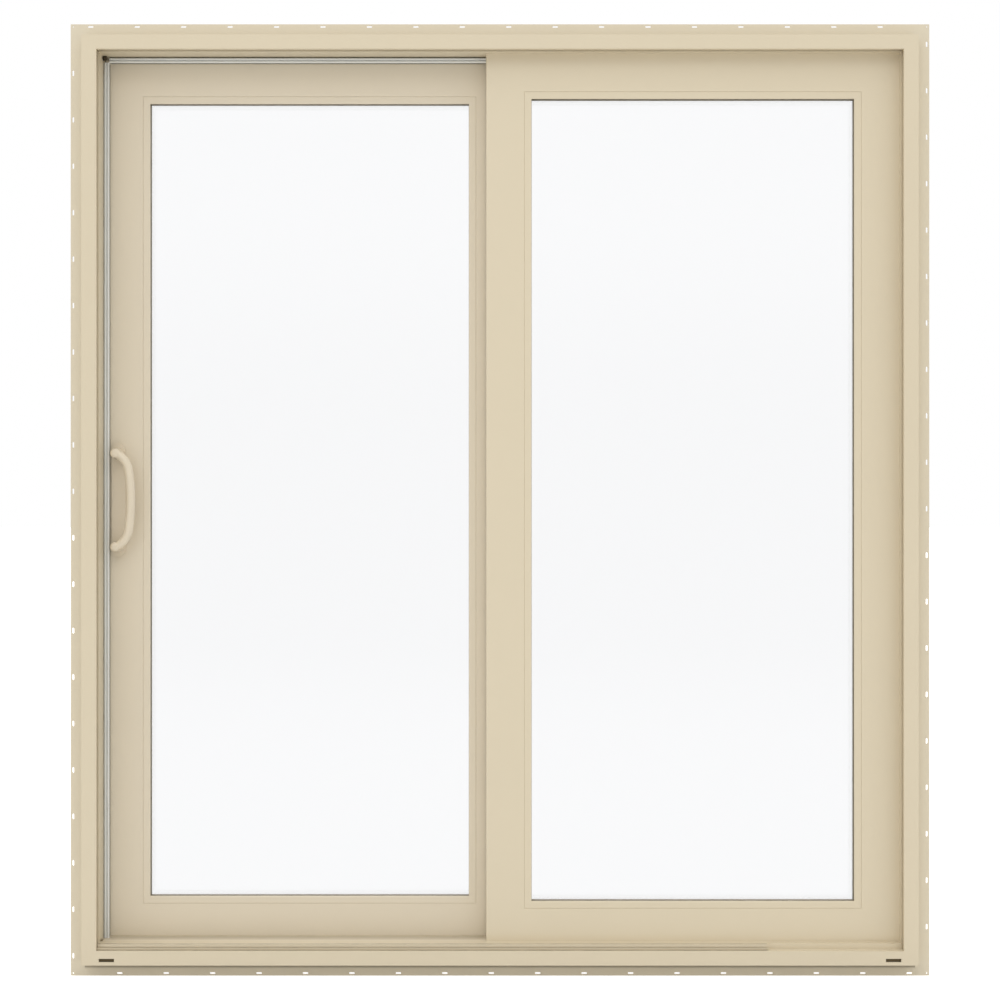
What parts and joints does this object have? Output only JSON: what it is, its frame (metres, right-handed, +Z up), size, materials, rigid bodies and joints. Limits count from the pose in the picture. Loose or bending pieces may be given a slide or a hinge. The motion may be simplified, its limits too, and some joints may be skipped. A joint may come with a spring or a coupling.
{
  "type": "glass sliding patio door",
  "caption": "Sliding patio door with a fixed glazed panel, a glazed panel that rolls behind it, bowed pull handles, a ribbed sill and a frame with slotted nail fins.",
  "frame": {"origin": "middle of the sill nail fin's back face, which lies against the wall", "axes": "+X to the right seen from outside, +Y into the building, +Z up"},
  "size_m": [1.878, 0.177, 2.081],
  "materials": {
    "vinyl": "almond extruded vinyl with a soft sheen",
    "fin_vinyl": "almond vinyl, thin and slightly duller than the frame",
    "handle_paint": "almond powder coat, satin",
    "glass": "clear insulated glass",
    "spacer": "satin",
    "grey_seal": "pale grey flexible vinyl",
    "dark_pile": "dense dark pile",
    "aluminium": "mill finish",
    "steel": "zinc plated",
    "wheel_nylon": "pale nylon",
    "rubber": "black"
  },
  "bodies": {
    "frame": {"fixed_bottom_bead": "vinyl", "fixed_bottom_rail": "vinyl", "fixed_glass": "glass", "fixed_glass_spacer": "spacer", "fixed_left_bead": "vinyl", "fixed_left_stile": "vinyl", "fixed_right_bead": "vinyl", "fixed_right_stile": "vinyl", "fixed_top_bead": "vinyl", "fixed_top_rail": "vinyl", "head": "vinyl", "head_guide_rail": "aluminium", "head_nail_fin": "fin_vinyl", "head_weatherstrip": "grey_seal", "jamb_weatherstrip": "grey_seal", "left_jamb": "vinyl", "left_jamb_stop": "vinyl", "left_nail_fin": "fin_vinyl", "lock_keeper": "steel", "meeting_weatherstrip": "dark_pile", "right_jamb": "vinyl", "right_jamb_stop": "vinyl", "right_nail_fin": "fin_vinyl", "roller_track": "aluminium", "screen_track": "vinyl", "sill": "vinyl", "sill_cover": "vinyl", "sill_nail_fin": "fin_vinyl", "sill_riser": "vinyl", "sill_roller_channel": "vinyl", "travel_bumper": "rubber"},
    "sliding_panel": {"inner_handle_grip": "handle_paint", "inner_handle_plate": "handle_paint", "lock_faceplate": "steel", "outer_handle_grip": "handle_paint", "outer_handle_plate": "handle_paint", "roller_carriages": "steel", "roller_wheels": "wheel_nylon", "sliding_bottom_bead": "vinyl", "sliding_bottom_rail": "vinyl", "sliding_glass": "glass", "sliding_glass_spacer": "spacer", "sliding_left_bead": "vinyl", "sliding_left_stile": "vinyl", "sliding_right_bead": "vinyl", "sliding_right_stile": "vinyl", "sliding_top_bead": "vinyl", "sliding_top_rail": "vinyl"}
  },
  "joints": [
    {"name": "panel_slide", "type": "slide", "parent": "frame", "child": "sliding_panel", "axis": [1, 0, 0], "range_m": [0, 0.765]}
  ]
}
